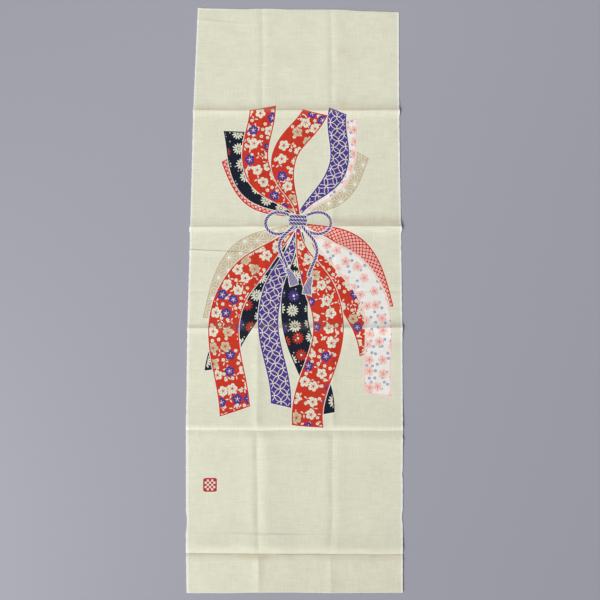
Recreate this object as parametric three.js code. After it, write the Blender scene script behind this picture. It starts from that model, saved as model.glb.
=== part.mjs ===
// A tenugui: a narrow-loom cotton hand towel, opened out of its folds and laid flat, right side up.
// It is one cut length of cloth with a selvedge down each long side and a raw cut at each short end,
// so it is one closed sheet. It was folded to a packet, and keeps those folds: five run across it,
// and two run along it and turn over (ridge, valley, ridge ...) at every fold they cross.
// Millimetres, +Z up. The origin is on the surface that the towel lies on, under the middle of its box.
// +Y runs along the towel and +X across it.
import * as THREE from "three";

const LENGTH = 920; // cut end to cut end
const THICKNESS = 1.0; // the sheet as a solid, lint and slack included
const HALF_LENGTH = LENGTH / 2;

// Where the folds that run across the cloth lie, down its length.
const FAR_FOLD = 289.8;
const UPPER_FOLD = 101.1;
const FAINT_FOLD = -1.0;
const MIDDLE_FOLD = -58.9;
const LOWER_FOLD = -216.8;
const NEAR_FOLD = -402.4;

// The outline, from the far end to the near one. along: place down the length. centre and width: the
// middle of the cloth there, and its width from selvedge to selvedge. slant: how much further along
// the right selvedge is than the left one, on a line that runs across the cloth.
const OUTLINE = [
  { along: HALF_LENGTH, centre: 5.5, width: 326.8, slant: 0.0 },
  { along: FAR_FOLD, centre: 2.2, width: 330.6, slant: -0.4 },
  { along: UPPER_FOLD, centre: 1.3, width: 333.6, slant: 1.1 },
  { along: MIDDLE_FOLD, centre: 0.2, width: 336.2, slant: 0.6 },
  { along: LOWER_FOLD, centre: -0.45, width: 334.9, slant: -0.7 },
  { along: NEAR_FOLD, centre: -0.3, width: 329.8, slant: -1.6 },
  { along: -HALF_LENGTH, centre: 0.3, width: 327.2, slant: 0.0 },
];

// The two cuts are not quite straight. past: how far a cut stands towards the far end from the end's
// own line, at each share of the width. The cloth near a cut follows it, less and less, over CUT_EASE.
const FAR_CUT = [
  { share: 0, past: 0.0 },
  { share: 0.24, past: 0.2 },
  { share: 0.29, past: 1.4 },
  { share: 0.39, past: 1.4 },
  { share: 0.45, past: 0.0 },
  { share: 0.7, past: 0.0 },
  { share: 0.8, past: -2.6 },
  { share: 0.92, past: -3.9 },
  { share: 1, past: -4.5 },
];
const NEAR_CUT = [
  { share: 0, past: 0.0 },
  { share: 0.2, past: 0.0 },
  { share: 0.31, past: 0.8 },
  { share: 0.5, past: 0.8 },
  { share: 0.56, past: 0.3 },
  { share: 1, past: 0.3 },
];
const CUT_EASE = 60;

// The folds that run across the cloth. Each has a flank above it, towards the far end, and one below
// it. heights: at the left selvedge, in the middle and at the right one. reach: how far the flank goes.
// A ridge stands up to an edge. A valley touches down in a line, and each of its flanks stands up to a
// soft crest at crest from that line.
const flank = (heights, crest, reach) => ({ heights, crest, reach });
const ridge = (along, heights, above, below) => ({
  along,
  above: flank(heights, 0, above),
  below: flank(heights, 0, below),
});
const valley = (along, above, below) => ({ along, above, below });
const ACROSS = [
  ridge(FAR_FOLD, [2.0, 2.3, 3.0], 20, 11),
  ridge(UPPER_FOLD, [2.3, 3.0, 3.9], 20, 12),
  valley(FAINT_FOLD, flank([0.3, 0.3, 0.4], 6, 30), flank([0.35, 0.35, 0.45], 6, 30)),
  ridge(MIDDLE_FOLD, [2.0, 2.7, 3.7], 12, 17),
  valley(LOWER_FOLD, flank([2.2, 2.2, 2.0], 6.8, 70), flank([0.95, 1.1, 1.6], 12, 42)),
  valley(NEAR_FOLD, flank([2.6, 2.0, 1.8], 11.3, 62), flank([1.9, 1.5, 1.1], 11, 160)),
];

// The two folds that run along the cloth, each at a share of its width from the left selvedge.
const ALONG = [{ share: 0.328 }, { share: 0.672 }];
const ALONG_RIDGE = { height: 1.0, reach: 13, crest: 0 };
const ALONG_VALLEY = { height: 0.75, reach: 34, crest: 8.5 };
const TURNING = 12; // a lengthwise fold rises to its full height this far from a fold that it crosses
const TURNS_AT = [FAR_FOLD, UPPER_FOLD, MIDDLE_FOLD, LOWER_FOLD, NEAR_FOLD]; // ridge and valley swap

// Grid lines stand either side of a fold's edge, closest where it bends most.
const RISE_SHARES = [0, 0.35, 0.7]; // of the way from the line of a valley to its crest
const FALL_SHARES = [0, 0.2, 0.5, 1]; // of the rest of the reach
const ALONG_LINES = [0, 2.3, 5.2, 8.5, 15, 24]; // from the edge of a lengthwise fold
const PLAIN_STEP = { along: 75, across: 45 }; // the widest plain facet
const LEAST_STEP = 2; // a grid line nearer than this to the one before it is left out

const lerp = THREE.MathUtils.lerp;

// A column of a table at a place in its key column, on straight runs between its rows.
function readTable(table, key, place, column) {
  const found = table.findIndex((row, i) => i > 0 && (place - row[key]) * (row[key] - table[0][key]) <= 0);
  const end = found < 0 ? table.length - 1 : found;
  const [from, to] = [table[end - 1], table[end]];
  return lerp(from[column], to[column], (place - from[key]) / (to[key] - from[key]));
}

const outlineAt = (along, column) => readTable(OUTLINE, "along", along, column);

// How far the cloth is moved along by the nearer cut.
function pulledBy(share, along) {
  const cut = along > 0 ? FAR_CUT : NEAR_CUT;
  const ease = Math.max(0, 1 - (HALF_LENGTH - Math.abs(along)) / CUT_EASE);
  return ease * readTable(cut, "share", share, "past");
}

// The height, as a share of a flank's own, at a distance from the fold's line.
function profile({ crest, reach }, away) {
  if (away >= reach) return 0;
  if (away < crest) return 1 - (1 - away / crest) ** 2;
  return (1 - (away - crest) / (reach - crest)) ** 2;
}

// The height of a flank, at a share of the width from the left selvedge.
function heightAt({ heights: [left, middle, right] }, share) {
  return share < 0.5 ? lerp(left, middle, share * 2) : lerp(middle, right, share * 2 - 1);
}

// The lift of the cloth off the surface: its folds across and along, added up.
function lift(share, along) {
  let z = 0;
  for (const fold of ACROSS) {
    const side = along > fold.along ? fold.above : fold.below;
    z += heightAt(side, share) * profile(side, Math.abs(along - fold.along));
  }
  const crossed = TURNS_AT.filter((turn) => along < turn).length;
  const fold = crossed % 2 ? ALONG_RIDGE : ALONG_VALLEY;
  const fromTurn = Math.min(...TURNS_AT.map((turn) => Math.abs(along - turn)));
  const grown = Math.min(1, fromTurn / TURNING) * fold.height;
  for (const { share: at } of ALONG)
    z += grown * profile(fold, Math.abs(share - at) * outlineAt(along, "width"));
  return z;
}

// A point of the cloth's underside, at a share of its width and a place down its length.
function surfacePoint(share, along) {
  const x = outlineAt(along, "centre") + (share - 0.5) * outlineAt(along, "width");
  const y = along + (share - 0.5) * outlineAt(along, "slant") + pulledBy(share, along);
  return new THREE.Vector3(x, y, lift(share, along));
}

// Grid lines between two ends: those given, and more wherever two are over step apart.
function gridLines(given, low, high, step) {
  const inside = given.filter((at) => at > low + LEAST_STEP && at < high - LEAST_STEP);
  const sorted = [low, ...inside.sort((a, b) => a - b), high];
  const spaced = sorted.filter((at, i) => i === 0 || at - sorted[i - 1] > LEAST_STEP);
  return spaced.flatMap((at, i) => {
    if (i === 0) return [at];
    const parts = Math.ceil((at - spaced[i - 1]) / step);
    return Array.from({ length: parts }, (_, k) => lerp(spaced[i - 1], at, (k + 1) / parts));
  });
}

// The places of the grid lines of a fold across the cloth, either side of its edge.
function foldLines({ along, above, below }) {
  const offsets = ({ crest, reach }) => [
    ...RISE_SHARES.map((share) => share * crest),
    ...FALL_SHARES.map((share) => crest + share * (reach - crest)),
  ];
  return [
    ...offsets(above).map((offset) => along + offset),
    ...offsets(below).map((offset) => along - offset),
  ];
}

// A closed sheet over a grid: its underside, its top a thickness above, and the strip round the edge.
function sheetGeometry(shares, alongs) {
  const across = shares.length;
  const under = alongs.flatMap((along) => shares.map((share) => surfacePoint(share, along)));
  const box = new THREE.Box3().setFromPoints(under);
  const middle = box.getCenter(new THREE.Vector3()).setZ(0);
  under.forEach((point) => point.sub(middle));
  const over = under.map((point) => point.clone().add(new THREE.Vector3(0, 0, THICKNESS)));
  const points = [...under, ...over];
  const top = under.length;
  const faces = [];
  for (let j = 0; j + 1 < alongs.length; j++)
    for (let i = 0; i + 1 < across; i++) {
      const a = j * across + i;
      const [b, c, d] = [a + 1, a + across + 1, a + across];
      faces.push([a, c, b], [a, d, c], [top + a, top + b, top + c], [top + a, top + c, top + d]);
    }
  const rim = [
    ...shares.map((_, i) => i),
    ...alongs.slice(1).map((_, j) => (j + 2) * across - 1),
    ...shares.slice(1).map((_, i) => alongs.length * across - 2 - i),
    ...alongs.slice(1, -1).map((_, j) => (alongs.length - 2 - j) * across),
  ];
  rim.forEach((a, k) => {
    const b = rim[(k + 1) % rim.length];
    faces.push([a, b, top + b], [a, top + b, top + a]);
  });
  return new THREE.BufferGeometry().setFromPoints(points).setIndex(faces.flat());
}

// The cut length of cloth, with its folds in it.
function cloth() {
  const width = OUTLINE[3].width;
  const edges = ALONG.map(({ share }) => share * width);
  const beside = edges.flatMap((edge) =>
    ALONG_LINES.flatMap((offset) => [edge - offset, edge + offset]),
  );
  const shares = gridLines(beside, 0, width, PLAIN_STEP.across).map((place) => place / width);
  const folds = ACROSS.flatMap(foldLines);
  const alongs = gridLines(folds, -HALF_LENGTH, HALF_LENGTH, PLAIN_STEP.along);
  const cotton = new THREE.MeshStandardMaterial({ color: 0xdedcc8, roughness: 0.92, metalness: 0 });
  const mesh = new THREE.Mesh(sheetGeometry(shares, alongs), cotton);
  mesh.name = "cloth";
  return mesh;
}

const towel = new THREE.Group();
towel.add(cloth());

export default towel;
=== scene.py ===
"""A tenugui towel, laid flat right side up with the creases of its folds.

The towel is one length of plain-weave cotton with a dyed design, built as a thin closed sheet over the
frame's plain solid. Across the towel is +X, along it is +Y. Cloth sizes are in millimetres here, and a
mesh is turned into metres as it is written.
"""

import math
from collections import namedtuple
from functools import partialmethod

import bpy
import numpy as np
from bpy.props import FloatProperty, FloatVectorProperty, IntProperty, PointerProperty
from bpy.types import Operator, Panel, PropertyGroup
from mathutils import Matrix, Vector


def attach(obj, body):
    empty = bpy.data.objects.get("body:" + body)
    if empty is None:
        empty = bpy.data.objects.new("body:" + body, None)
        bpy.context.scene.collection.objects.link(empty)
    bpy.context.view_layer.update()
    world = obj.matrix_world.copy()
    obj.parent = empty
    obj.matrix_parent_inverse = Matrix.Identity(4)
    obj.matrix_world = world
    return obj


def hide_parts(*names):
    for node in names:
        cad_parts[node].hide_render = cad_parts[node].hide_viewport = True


bl_info = {
    "name": "Tenugui towel",
    "version": (1, 0, 0),
    "blender": (4, 5, 0),
    "location": "3D View > Sidebar > Tenugui",
    "description": "Lays a creased and dyed cotton hand towel, its loose yarn, and a plain stage",
    "category": "Add Mesh",
}

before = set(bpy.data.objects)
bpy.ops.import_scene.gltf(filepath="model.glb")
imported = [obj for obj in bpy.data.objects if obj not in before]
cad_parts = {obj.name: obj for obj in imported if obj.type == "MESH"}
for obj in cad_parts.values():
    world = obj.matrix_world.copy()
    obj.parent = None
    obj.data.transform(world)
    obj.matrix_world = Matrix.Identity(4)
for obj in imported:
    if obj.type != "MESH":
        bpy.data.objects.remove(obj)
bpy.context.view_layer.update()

METRE = 0.001  # one millimetre, in metres

# ---------------------------------------------------------------------------------------------------
# The cloth: its outline, its folds and its small unevenness, in millimetres
# ---------------------------------------------------------------------------------------------------

LENGTH = 920.0
HALF_LENGTH = LENGTH / 2
WIDEST = 336.2

# Where the folds across the cloth lie, along it, the far ones first.
FAR_FOLD = 289.8
UPPER_FOLD = 101.1
FAINT_FOLD = -1.0
MIDDLE_FOLD = -58.9
LOWER_FOLD = -216.8
NEAR_FOLD = -402.4

# The outline from the near end to the far one. centre and width: the middle of the cloth and its width
# there. slant: how much further along the right selvedge is, on a line that runs across the cloth.
Level = namedtuple("Level", "along centre width slant")
OUTLINE = [
    Level(-HALF_LENGTH, 0.3, 327.2, 0.0),
    Level(NEAR_FOLD, -0.3, 329.8, -1.6),
    Level(LOWER_FOLD, -0.45, 334.9, -0.7),
    Level(MIDDLE_FOLD, 0.2, 336.2, 0.6),
    Level(UPPER_FOLD, 1.3, 333.6, 1.1),
    Level(FAR_FOLD, 2.2, 330.6, -0.4),
    Level(HALF_LENGTH, 5.5, 326.8, 0.0),
]

# How far each cut stands towards the far end from its own line, at shares of the width.
FAR_CUT = {
    0: 1.2, 0.035: 0, 0.24: 0.2, 0.29: 1.4, 0.39: 1.4, 0.45: 0, 0.7: 0, 0.8: -2.6, 0.92: -3.9, 1: -4.5
}
NEAR_CUT = {0: 0, 0.2: 0, 0.31: 0.8, 0.5: 0.8, 0.56: 0.3, 1: 0.3}
CUT_EASE = 60.0  # the cloth near a cut follows it, less and less, over this length

# Dents and bulges of the selvedges. out: outwards, or inwards where it is less than 0.
Dent = namedtuple("Dent", "side along reach out")
DENTS = [
    Dent("left", -355, 18, -1.6),
    Dent("left", 96, 10, 1.2),
    Dent("left", 287, 7, 0.6),
    Dent("right", -347, 15, -1.2),
    Dent("right", -283, 8, -1.0),
    Dent("right", 97, 9, 1.3),
    Dent("right", 286, 7, 0.8),
]
DENT_SPREAD = 0.55  # how much of its reach a dent's bell curve takes
DENT_DEPTH = 14.0  # how far into the cloth a dent pulls it

# Folds across the cloth. Each has its heights, and so on, at the left selvedge, in the middle and at the
# right one. A ridge falls to the plain cloth over its reach, far on the far side and near on the near
# side. A valley has a soft crest on each side, at crests from its line, and falls from there to the
# plain cloth at reach.
Ridge = namedtuple("Ridge", "along heights far near")
Flank = namedtuple("Flank", "heights crests reach")
Valley = namedtuple("Valley", "along far near")
RIDGES = [
    Ridge(FAR_FOLD, (2.0, 2.3, 3.0), (16, 16, 23.5), (10, 11, 12.5)),
    Ridge(UPPER_FOLD, (2.3, 3.0, 3.9), (20, 20, 22), (9, 10.5, 15)),
    Ridge(MIDDLE_FOLD, (2.0, 2.7, 3.7), (10, 12, 15), (10, 16, 24)),
]
VALLEYS = [
    Valley(
        FAINT_FOLD,
        Flank((0.3, 0.3, 0.4), (6, 6, 6), 30),
        Flank((0.35, 0.35, 0.45), (6, 6, 6), 30),
    ),
    Valley(
        LOWER_FOLD,
        Flank((2.2, 2.2, 2.0), (6.8, 6.8, 6.8), 70),
        Flank((0.95, 1.1, 1.6), (12, 11, 14), 42),
    ),
    Valley(
        NEAR_FOLD,
        Flank((2.6, 2.0, 1.8), (13.5, 11, 9.5), 62),
        Flank((1.9, 1.5, 1.1), (10.5, 11, 12), 160),
    ),
]
# A ridge's height goes down as these powers of what is left of its reach, on its far and near sides.
FAR_POWER, NEAR_POWER = 2.0, 1.6

# The two lengthwise folds, which run a little aslant: each one's share of the width at some places,
# and how strong it is there.
Line = namedtuple("Line", "along left right left_strength right_strength")
LENGTHWISE = [
    Line(-HALF_LENGTH, 0.335, 0.667, 1.05, 0.65),
    Line(NEAR_FOLD, 0.333, 0.667, 1.15, 0.75),
    Line(-330, 0.331, 0.675, 1.2, 0.8),
    Line(-240, 0.326, 0.676, 1.15, 0.85),
    Line(-150, 0.3265, 0.675, 0.9, 0.85),
    Line(100, 0.328, 0.6745, 0.85, 0.85),
    Line(265, 0.3295, 0.675, 0.8, 0.8),
    Line(300, 0.3315, 0.672, 0.72, 0.75),
    Line(375, 0.3305, 0.6675, 0.72, 0.75),
    Line(HALF_LENGTH, 0.321, 0.6635, 0.75, 0.8),
]
LINE_SHARES = (0.328, 0.668)  # where the grid has them
LINE_HEIGHT = 1.15  # where it is a ridge
LINE_REACH = 13.0
LINE_VALLEY = Flank(0.75, 8.5, 34)  # and where it is a valley
LINE_WIDENS = 1.38  # how much larger a valley's right side is than its left, for a strength of 1
LINE_RADIUS = 1.4  # the round of its edge
TURNS_AT = (FAR_FOLD, UPPER_FOLD, MIDDLE_FOLD, LOWER_FOLD, NEAR_FOLD)  # a lengthwise fold turns over
TURNING = 12.0  # and has its full height again this far on
CUT_RISE = 0.7  # how far the near cut stands off the surface
CUT_RISE_REACH = 38.0  # and from how far in
CREASE_RADIUS = 0.3  # the round of a pressed edge
STRAY_FADE = 30.0  # a fold's line strays from the straight, and moves the cloth beside it this far off
TREMBLE_DEPTH = 5.0  # how deep into the cloth the trembling of a selvedge goes

# Even random unevenness: its size, and the lengths of its longest and its shortest waves. That of a
# height is a share of the height.
Wave = namedtuple("Wave", "size longest shortest")
FOLD_HEIGHT_WAVE = Wave(0.10, 120, 22)
LINE_HEIGHT_WAVE = Wave(0.22, 150, 30)
WRINKLE_HEIGHT_WAVE = Wave(0.12, 60, 15)
FOLD_STRAY = Wave(0.25, 160, 30)
LINE_STRAY = Wave(0.45 / WIDEST, 260, 60)  # as a share of the width, as is the next
TREMBLE = Wave(0.22 / WIDEST, 22, 9)
SWAY_LENGTHS = (70, 230)  # the shortest and the longest swells of the plain cloth

# Fine sharp wrinkles across: on the near side of its line the cloth stands up at once, and falls back
# over its reach. shifts and heights: how far the line strays, and the height, at shares of the width.
Wrinkle = namedtuple("Wrinkle", "along shifts heights crest reach")
WRINKLES = [
    Wrinkle(
        440,
        {0: 3.4, 0.07: 2.3, 0.15: 0, 0.25: -3.1, 0.33: -4},
        {0: 0.15, 0.05: 0.34, 0.15: 0.3, 0.26: 0.26, 0.33: 0},
        3.2,
        9,
    ),
    Wrinkle(
        63.6,
        {0: 2.6, 0.12: 0.6, 0.28: -2.6, 0.34: -2.8},
        {0: 0.7, 0.05: 1.1, 0.2: 1.0, 0.28: 0.6, 0.33: 0},
        0.9,
        13,
    ),
    Wrinkle(
        -371.5,
        {0: 1.2, 0.3: 0.4, 0.6: -1.0, 1: -1.6},
        {0: 0.08, 0.14: 0.14, 0.22: 0.4, 0.3: 0.45, 0.38: 0.55, 0.46: 0.5, 0.54: 0.25, 0.66: 0.16, 1: 0.14},
        3.4,
        34,
    ),
    Wrinkle(
        NEAR_FOLD,
        {0: 0, 1: 0},
        {0: 0.45, 0.1: 0.6, 0.3: 0.5, 0.38: 0.3, 0.44: 0.7, 0.62: 0.75, 0.7: 0.45, 0.8: 0.4, 1: 0.45},
        1.4,
        14,
    ),
]

PLAIN_STEP = 3.9  # between grid lines on the plain cloth
FINE_STEP = 0.55  # and beside a fold's edge
SOFT_STEP = 0.8  # and beside a lengthwise fold, which is softer
FINE_REACH = 2.5  # the grid is fine up to here from such an edge
COARSE_REACH = 15.0  # and plain from here on
GRID_TRIES = 6000  # places at which the grid's step is worked out
ROUND_EDGE = (0.06, 0.2, 0.5, 1.4)  # grid lines that round off the cloth's edges

# ---------------------------------------------------------------------------------------------------
# The dyed design: a bundle of streamers tied with a cord, each with a common repeat
# ---------------------------------------------------------------------------------------------------

PLUM, DAISY, RINGS, PETALS, HEMP, SPOTS, CORD, TASSEL, STAMP = range(9)  # the kinds of fill

# Streamers in the order that they lie, the lowest first. right and up: where it starts, from the knot.
# heading: its direction there, in degrees from +X. bend: how far it turns by its end. wave: how far it
# sways to both sides on the way. gather: the length over which it opens to its full width. cut: the
# slope of the cut at its end.
Strip = namedtuple("Strip", "fill right up heading bend wave length width gather cut")
KNOT = (4.0, 112.0)
STREAMERS = [
    Strip(SPOTS, 0, 6, 168, -58, 8, 158, 30, 90, 0.2),
    Strip(HEMP, 0, 6, 20, 52, -8, 152, 32, 90, -0.2),
    Strip(DAISY, 0, 6, 150, -48, 14, 186, 40, 100, -0.25),
    Strip(PETALS, 0, 6, 44, 40, -12, 186, 38, 100, 0.25),
    Strip(RINGS, 0, 6, 62, 16, -24, 196, 32, 100, -0.2),
    Strip(PLUM, 0, 6, 128, -40, 20, 204, 44, 100, 0.25),
    Strip(PLUM, 0, 6, 98, -34, 24, 190, 42, 100, 0.25),
    Strip(HEMP, 0, -6, 200, 58, -10, 216, 38, 110, 0.2),
    Strip(SPOTS, 0, -6, -14, -62, 10, 206, 36, 110, -0.2),
    Strip(DAISY, 0, -6, 221, 42, 14, 262, 46, 120, 0.25),
    Strip(PLUM, 0, -6, -35, -49, -10, 238, 48, 120, 0.25),
    Strip(RINGS, 0, -6, 262, 6, -18, 296, 34, 120, -0.2),
    Strip(PLUM, 0, -6, 230, 44, -18, 340, 50, 120, 0.25),
    Strip(DAISY, 0, -6, -72, -22, -22, 308, 44, 120, 0.2),
    Strip(PETALS, 0, -6, -46, -38, 18, 322, 44, 120, -0.25),
    Strip(PLUM, 0, -6, -92, 10, 26, 332, 50, 120, -0.2),
    Strip(TASSEL, -17, -77, -62, -10, 6, 30, 15, 26, 0),
    Strip(TASSEL, 21, -90, -106, 4, -6, 30, 15, 26, 0),
    Strip(CORD, 0, 0, 32, -244, 34, 128, 6.2, 0, 0),
    Strip(CORD, 0, 0, 148, 244, -34, 128, 6.2, 0, 0),
    Strip(CORD, 3, -4, -66, -30, 26, 98, 6.2, 0, 0),
    Strip(CORD, -3, -4, -118, 34, -30, 86, 6.2, 0, 0),
    Strip(CORD, -14, 6.1, -3, 0, 0, 28, 7.0, 0, 0),
    Strip(CORD, -15, 0.4, -3, 0, 0, 30, 7.0, 0, 0),
    Strip(CORD, -14, -5.3, -3, 0, 0, 28, 7.0, 0, 0),
]
GATHERED = 4.0  # half a streamer's width at the knot
PATH_STEPS = 160
STRIP_SHIFT = 211.0  # each streamer starts its repeat at its own place
STAMP_PLACE = (-129.5, -300.0)
STAMP_SIZE = 21.0
STAMP_CORNER = (1.32, 0.72)  # its corners are cut off: how far out, and how fast that edge comes near
LAYERS = ("top", "mid", "low")  # how many streamers a facet of the cloth can tell apart
MAY_BLEED = 1.0  # a streamer may show this far past its edge
FAR_OUTSIDE = -100.0  # so far from any streamer that no dye shows

# Loose yarn. Stretches of the outermost yarn that lie off a cut, which is 1 for the far cut and -1 for
# the near one: the shares of the width between which each lies, and how far out.
LooseRun = namedtuple("LooseRun", "cut start stop out")
LOOSE_RUNS = [
    LooseRun(1, 0.03, 0.17, 0.9),
    LooseRun(1, 0.47, 0.66, 1.1),
    LooseRun(1, 0.71, 0.80, 0.8),
    LooseRun(1, 0.84, 0.97, 1.0),
    LooseRun(-1, 0.10, 0.32, 0.7),
    LooseRun(-1, 0.58, 0.83, 0.9),
]
RUN_ROOT = 0.1  # how far inside the cut a run starts and ends
RUN_WAVE = Wave(0.4, 40, 9)  # of how far out a run lies, as a share of it
RUN_LIFT_WAVE = Wave(1.0, 50, 12)
RUN_HEIGHT, RUN_LIFT = 0.3, 0.25  # a run's height at its ends, and how far it waves over that
RUN_LOWEST = 0.2
RUN_STEPS, RUN_SIDES = 48, 6
RUN_THICK = 1.35  # how much thicker a run is than an end

# One yarn that curls up off the far cut: its heading in degrees at shares of its length.
CURL = {0: 70, 0.2: 32, 0.55: 20, 0.75: 4, 0.9: -60, 1: -130}
CURL_SHARE = 0.014  # of the width, where it starts
CURL_ROOT = 1.0  # and how far inside the cut
CURL_LENGTH = 21.0
CURL_LOW, CURL_LIFT = 0.35, 1.1  # its height at its ends, and how far it rises over that

# The short ends that stand out of both cuts.
ENDS_TO_A_CUT = 300
ENDS_FROM, ENDS_TO = 0.004, 0.996  # the shares of the width between which they stand
END_PLACE = (0.1, 0.9)  # and those of its own stretch between which each does
END_STEPS, END_SIDES = 4, 4
END_ROOT = 0.5  # an end starts this far inside the cloth
SHORT_END, MOST_ADD, FEW_ADD = 0.5, 1.5, 3.2  # the shortest end, what most add to it, what a few add
MOST_POWER, FEW_POWER = 2, 18  # the higher these are the rarer is a long one
END_DRIFT = 0.28  # how far an end drifts sideways, as a share of its length
END_SINKS = 0.8  # how much of the way down to the surface its tip sinks
END_TILT = 0.12  # and how far its tip is off that, up or down
YARN_TIP = 0.55  # how thick a loose yarn still is at its tip
YARN_UNEVEN = (0.8, 1.2)  # the thinnest and the thickest yarn, as shares of the plain one

# Stains that age and handling left, mixed with painted shade: the thin bands right at a crease are partly
# painted crease shade, the broad faint band over the near part is painted shade, and the spots are partly
# painted shade on the low swells of the cloth. Along the creases they are soft bands, offset from a fold,
# from one share of the width to another. Elsewhere they are soft spots, so wide across and so long along.
Stain = namedtuple("Stain", "along offset spread share to_share strength")
CREASE_STAINS_AND_SHADE = [
    Stain(FAR_FOLD, 3.6, 5.5, 0.0, 1.0, 0.14),
    Stain(FAR_FOLD, 1.4, 2.0, 0.0, 1.0, 0.17),
    Stain(UPPER_FOLD, 9.0, 6.5, 0.64, 1.0, 0.30),
    Stain(UPPER_FOLD, 1.5, 2.0, 0.0, 1.0, 0.10),
    Stain(MIDDLE_FOLD, 3.0, 5.0, 0.0, 1.0, 0.10),
    Stain(NEAR_FOLD, -4.0, 5.0, 0.0, 1.0, 0.12),
    Stain(NEAR_FOLD, -4.0, 5.0, 0.235, 0.385, 0.20),
    # Painted shade: a broad faint darkening over the near part of the cloth, from the middle to the right.
    Stain(NEAR_FOLD, -26.0, 50.0, 0.34, 1.0, 0.06),
]
STAIN_AND_SHADE_EASE = 0.03  # a band starts and stops over this share of the width, each way
Spot = namedtuple("Spot", "across along wide long strength")
# Partly age stains, partly painted shade on the low swells of the cloth.
SPOT_STAINS_AND_SHADE = [
    Spot(75, 302, 10, 9, 0.26),
    Spot(116, 312, 14, 6, 0.14),
    Spot(75, 388, 9, 10, 0.16),
    Spot(88, 375, 7, 7, 0.12),
    Spot(71, 428, 7, 13, 0.10),
    Spot(143, 434, 7, 20, 0.10),
    Spot(92, -387, 34, 8, 0.10),
    Spot(125, -408, 30, 9, 0.10),
]

# ---------------------------------------------------------------------------------------------------
# What a user would change
# ---------------------------------------------------------------------------------------------------


def srgb(red, green, blue):
    """A colour given as display values from 0 to 255, as the linear values that a material takes."""
    shares = np.array([red, green, blue]) / 255
    linear = np.where(shares <= 0.04045, shares / 12.92, ((shares + 0.055) / 1.055) ** 2.4)
    return tuple(float(value) for value in linear)


def number_property(name, description, default, **kind):
    """A number that a user would change."""
    return FloatProperty(name=name, description=description, default=default, **kind)


def length_property(name, description, millimetres):
    """A length that a user would change."""
    return number_property(name, description, millimetres * METRE, unit="LENGTH")


def colour_property(name, description, *display):
    """A colour that a user would change, given as display values from 0 to 255."""
    kind = {"subtype": "COLOR", "size": 3, "min": 0, "max": 1}
    return FloatVectorProperty(name=name, description=description, default=srgb(*display), **kind)


class TowelSizes(PropertyGroup):
    """The sizes of the cloth and of its unevenness."""

    thickness: length_property("Thickness", "Thickness of the cotton", 0.45)
    crease_height: number_property(
        "Crease height", "Height of the creases, as a share of the laid towel's own", 1.0, subtype="FACTOR"
    )
    sway: length_property("Sway", "How far the plain cloth lifts off the surface here and there", 0.5)
    yarn: length_property("Yarn", "Thickness of a yarn", 0.28)
    seed: IntProperty(
        name="Seed", description="Picks one arrangement of the small unevenness", default=7
    )


class TowelColours(PropertyGroup):
    """The cotton's colour and the dyes."""

    cotton: colour_property("Cotton", "The undyed ground", 229, 228, 206)
    # This colour is painted on a band along the edges and cuts, partly as a painted highlight; it is the
    # loose yarn's colour too.
    selvedge: colour_property("Selvedge", "The tight edge of the weave", 244, 243, 235)
    # This colour paints the age stains and also painted shade in the creases and on the swells.
    stain_and_shade: colour_property("Stain", "Age stains along the creases", 203, 177, 143)
    red: colour_property("Red", "The main dye", 205, 55, 36)
    stamp: colour_property("Stamp", "The square stamp's ink", 186, 48, 62)
    navy: colour_property("Navy", "The darkest dye", 22, 29, 45)
    purple: colour_property("Purple", "The cord, the linked rings and some blossoms", 82, 58, 143)
    tan: colour_property("Tan", "The quiet dye", 204, 191, 156)
    pale: colour_property("Pale", "The streamers that are nearly white", 243, 242, 236)
    pink: colour_property("Pink", "Blossoms on the pale streamers, and the tied spots", 251, 206, 197)
    grey_blue: colour_property("Grey blue", "Small blossoms on the pale streamers", 150, 164, 190)


class StageSettings(PropertyGroup):
    """The floor, the light and the camera."""

    floor: colour_property("Floor", "The plain floor", 166, 167, 177)
    key_strength: number_property("Key light", "Strength of the soft light from the near left", 2.80)
    key_softness: number_property(
        "Key softness", "How wide the soft light looks from the towel", math.radians(20), subtype="ANGLE"
    )
    left_power: number_property("Left light", "Power of the weak light at the left", 2.5, unit="POWER")
    far_power: number_property("Far light", "Power of the weak light past the far end", 1.5, unit="POWER")
    fill: number_property("Fill", "Strength of the light from all round", 0.17)
    camera_distance: length_property("Camera distance", "From the camera to the cloth", 1150)
    camera_tilt: number_property(
        "Camera tilt",
        "How far the camera leans from straight above, towards the near end",
        math.radians(5.07),
        subtype="ANGLE",
    )
    lens: number_property("Lens", "Focal length in millimetres", 44.0, min=1.0)


# ---------------------------------------------------------------------------------------------------
# The shape of the cloth, as whole arrays
# ---------------------------------------------------------------------------------------------------


def column(rows, name):
    """One column of a table, as an array."""
    return np.array([getattr(row, name) for row in rows], float)


def outline_at(along, name):
    """A column of OUTLINE at each place along the cloth, on straight runs between the rows."""
    return np.interp(along, column(OUTLINE, "along"), column(OUTLINE, name))


def lengthwise_at(along, name):
    """A column of LENGTHWISE at each place along the cloth, on straight runs between the rows."""
    return np.interp(along, column(LENGTHWISE, "along"), column(LENGTHWISE, name))


def smooth(low, high, value):
    """0 below low, 1 above high, and an even S between them: 3 x squared less 2 x cubed."""
    x = np.clip((value - low) / (high - low), 0, 1)
    return x * x * (3 - 2 * x)


def ridge_profile(reach, away, radius, power=2.0):
    """A ridge's height as a share of its own, at a distance from its edge.

    It is a power of what is left of the reach. The edge is rounded off.
    """
    away = np.hypot(away, radius) - radius
    return np.clip(1 - away / reach, 0, 1) ** power


def flank_profile(crest, reach, away, radius=CREASE_RADIUS):
    """The height of one side of a valley, as a share of its own, at a distance from its line.

    It rises to the crest as a round hump, 1 less the square of what is left of the way, and falls
    from there as the square of what is left of the reach. The line is rounded off.
    """
    away = np.hypot(away, radius) - radius
    hump = 1 - (1 - np.minimum(away, crest) / crest) ** 2
    return hump * np.clip((reach - away) / (reach - crest), 0, 1) ** 2


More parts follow.
